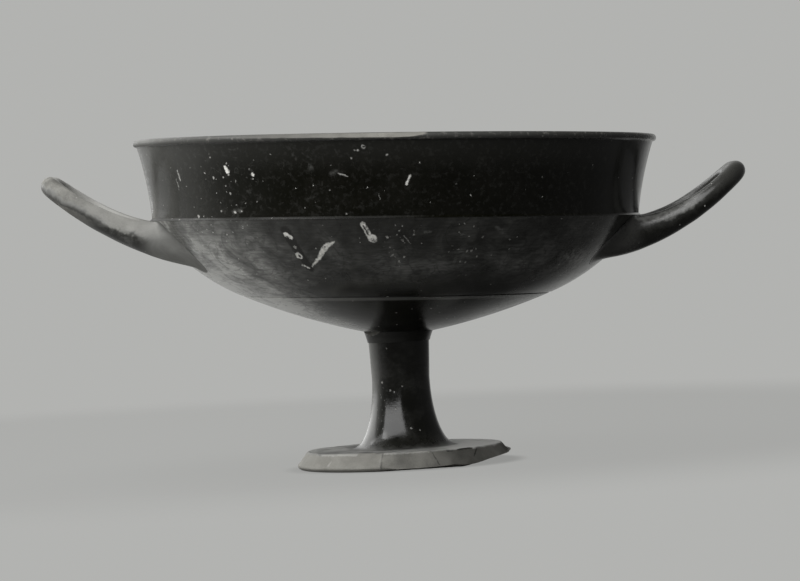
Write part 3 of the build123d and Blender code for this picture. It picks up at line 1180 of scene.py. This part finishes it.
def make_handle(side):
    reach, rise = handle_sizes[side]
    path, radii = coil_path(reach, rise)
    settings = {
        "Sides": coil_sides,
        "Unevenness": coil_unevenness * MM,
        "Lump Size": coil_lump_size * MM,
        "Finish": handle_finish(*handle_wear[side]),
    }
    handle = grown("handle_" + side + "_coil", path, coiling, settings, radii * MM)
    rings = corners(handle.data).reshape(coil_points, coil_sides, 3)
    middle = coil_points // 2
    front = luted(rings[middle::-1])
    back = luted(rings[middle:])
    rings = joined(front[::-1], back)

    headings = unit(np.gradient(rings.mean(axis=1), axis=0))
    ups = unit((0, 0, 1) - headings * headings[:, 2:])
    inwards = unit(((crease[0] + 0.6 * reach, 0, 0) - rings) * (1, 1, 0))

    flip = np.array((-1, 1, 1) if side == "left" else (1, 1, 1))
    points = (rings.reshape(-1, 3) * flip) @ bowl_turn.T + bowl_seat
    set_corners(handle.data, points)
    face_outwards(handle.data)
    normals = np.empty(rings.size)
    handle.data.vertices.foreach_get("normal", normals)
    normals = ((normals.reshape(-1, 3) @ bowl_turn) * flip).reshape(rings.shape)
    upper = np.einsum("rlc,rc->rl", normals, ups).ravel()
    inner = np.einsum("rlc,rlc->rl", normals, inwards).ravel()
    face_outwards(handle.data, close_ends=True)
    beds = ["luting_" + side + end for end in ("_front", "_back")]
    finish_piece(handle, points, {"upper_side": upper, "inner_side": inner}, "handle_" + side, *beds)


make_bowl()
make_stem()
make_collar()
make_handle("left")
make_handle("right")
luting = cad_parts["stem_luting"]
luting.data.materials.clear()
luting.data.materials.append(clay_finish())


# Table, room, lights and camera.

table_radius = 500.0
table_centre = (-80.0, 220.0, 0.0)
pale_room = (0.447, 0.450, 0.438, 1.0)
table_glow = (0.405, 0.408, 0.397, 1.0)
dark_room = (0.060, 0.060, 0.060, 1.0)
# Lit and shaded tones of the table, and the painted shadow round the cup.
table_pale = (0.50, 0.50, 0.49, 1.0)
table_painted_shade = (0.15, 0.15, 0.147, 1.0)
table_painted_shadow = (0.0, 0.0, 0.0, 1.0)
eye = Vector((0.0016, -1.56, 0.0985))
aim = Vector((0.0016, 0.0, 0.0695))
picture_lean = radians(-3.1)


def make_table():
    """A white round table top that fades into the pale room at its edge, and keeps a faint shadow. Its
    colour is painted light: paler at the left as if lit by the windows, darker to the right, with a
    painted shadow round the cup.
    """
    mesh = bpy.data.meshes.new("table_top")
    work = bmesh.new()
    bmesh.ops.create_circle(work, cap_ends=True, radius=table_radius * MM, segments=96)
    bmesh.ops.translate(work, verts=work.verts, vec=[MM * c for c in table_centre])
    work.to_mesh(mesh)
    work.free()
    table = placed("table_top", mesh)
    finish = Finish("pale_table")
    grain = finish.grain(0.3, 3.0)
    from_cup = finish.vector("LENGTH", finish.where)
    # Painted light: the table is pale at the left and shaded to the right, as if lit from the left.
    shade = (finish.x + 40.0 * grain).step(-100.0, 180.0)
    colour = finish.mix(shade, table_pale, table_painted_shade)
    # Painted shadow round the cup's foot.
    colour = finish.mix(0.5 * from_cup.step(180.0, 60.0), colour, table_painted_shadow)
    paint = finish.node(
        "ShaderNodeBsdfDiffuse", None, {"Color": colour, "Normal": finish.bump(grain, 0.02)}
    )["BSDF"]
    glow = finish.node("ShaderNodeEmission", None, {"Color": table_glow})["Emission"]
    rays = finish.node("ShaderNodeLightPath")
    open_table = from_cup.step(foot_radius, foot_radius + 8.0)
    shown = open_table.level(0.7, 0.945) * rays["Is Camera Ray"]
    mirrored = 0.9 * finish.y.step(20.0, 220.0) * finish.x.step(380.0, 140.0) * rays["Is Glossy Ray"]
    lit = finish.node("ShaderNodeMixShader", None, {0: shown | mirrored, 1: paint, 2: glow})["Shader"]
    clear = finish.node("ShaderNodeBsdfTransparent")["BSDF"]
    from_centre = finish.vector("DISTANCE", finish.where, table_centre)
    far = from_centre.step(0.6 * table_radius, 0.96 * table_radius)
    faded = finish.node("ShaderNodeMixShader", None, {0: far, 1: lit, 2: clear})["Shader"]
    finish.node("ShaderNodeOutputMaterial", None, {"Surface": faded})
    mesh.materials.append(finish.material)


def soft_light(name, place, size, power, target=(0.0, 0.0, 0.08)):
    lamp = bpy.data.lights.new(name, "AREA")
    lamp.shape = "RECTANGLE"
    lamp.size, lamp.size_y = size
    lamp.energy = power
    holder = placed(name, lamp)
    holder.location = place
    holder.rotation_euler = (Vector(target) - Vector(place)).to_track_quat("-Z", "Y").to_euler()


def make_lights():
    """Soft windows above, at the left and behind at the left, in a room that is pale behind and left."""
    soft_light("window_above", (-0.66, -0.94, 1.10), size=(2.0, 1.8), power=38.0)
    soft_light("window_left", (-0.95, 0.08, 1.40), size=(1.5, 1.2), power=12.0)
    soft_light("window_behind", (-1.10, 1.15, 0.65), size=(1.8, 1.2), power=10.0)
    world = bpy.data.worlds.new("room")
    world.use_nodes = True
    world.node_tree.nodes.clear()
    tree = Nodes(world.node_tree)
    heading = tree.node("ShaderNodeTexCoord")["Generated"]
    towards = tree.vector("DOT_PRODUCT", heading, (-0.75, 0.65, 0.0)).step(0.0, 1.0)
    behind = tree.vector("DOT_PRODUCT", heading, (0.0, 1.0, 0.0)).step(0.82, 0.985)
    rays = tree.node("ShaderNodeLightPath")
    mirrored = rays["Is Glossy Ray"] * (0.1 + 0.8 * behind)
    seen = rays["Is Camera Ray"] | rays["Is Transmission Ray"] | mirrored
    room = tree.mix(towards, dark_room, pale_room)
    shown = tree.mix(seen, room, pale_room)
    light = tree.node("ShaderNodeBackground", None, {"Color": shown})["Background"]
    tree.node("ShaderNodeOutputWorld", None, {"Surface": light})
    bpy.context.scene.world = world


def make_camera():
    """The eye is level with the crease, and the picture leans a little to the left."""
    camera = bpy.data.cameras.new("view")
    camera.lens = 175.5
    camera.sensor_width = 36.0
    camera.clip_end = 50.0
    holder = placed("view", camera)
    holder.rotation_mode = "QUATERNION"
    turn = (aim - eye).to_track_quat("-Z", "Y").to_matrix().to_4x4()
    lean = Matrix.Rotation(picture_lean, 4, "Z")
    holder.matrix_world = Matrix.Translation(eye) @ turn @ lean
    bpy.context.scene.camera = holder


make_table()
make_lights()
make_camera()
bpy.context.scene.view_settings.view_transform = "Standard"
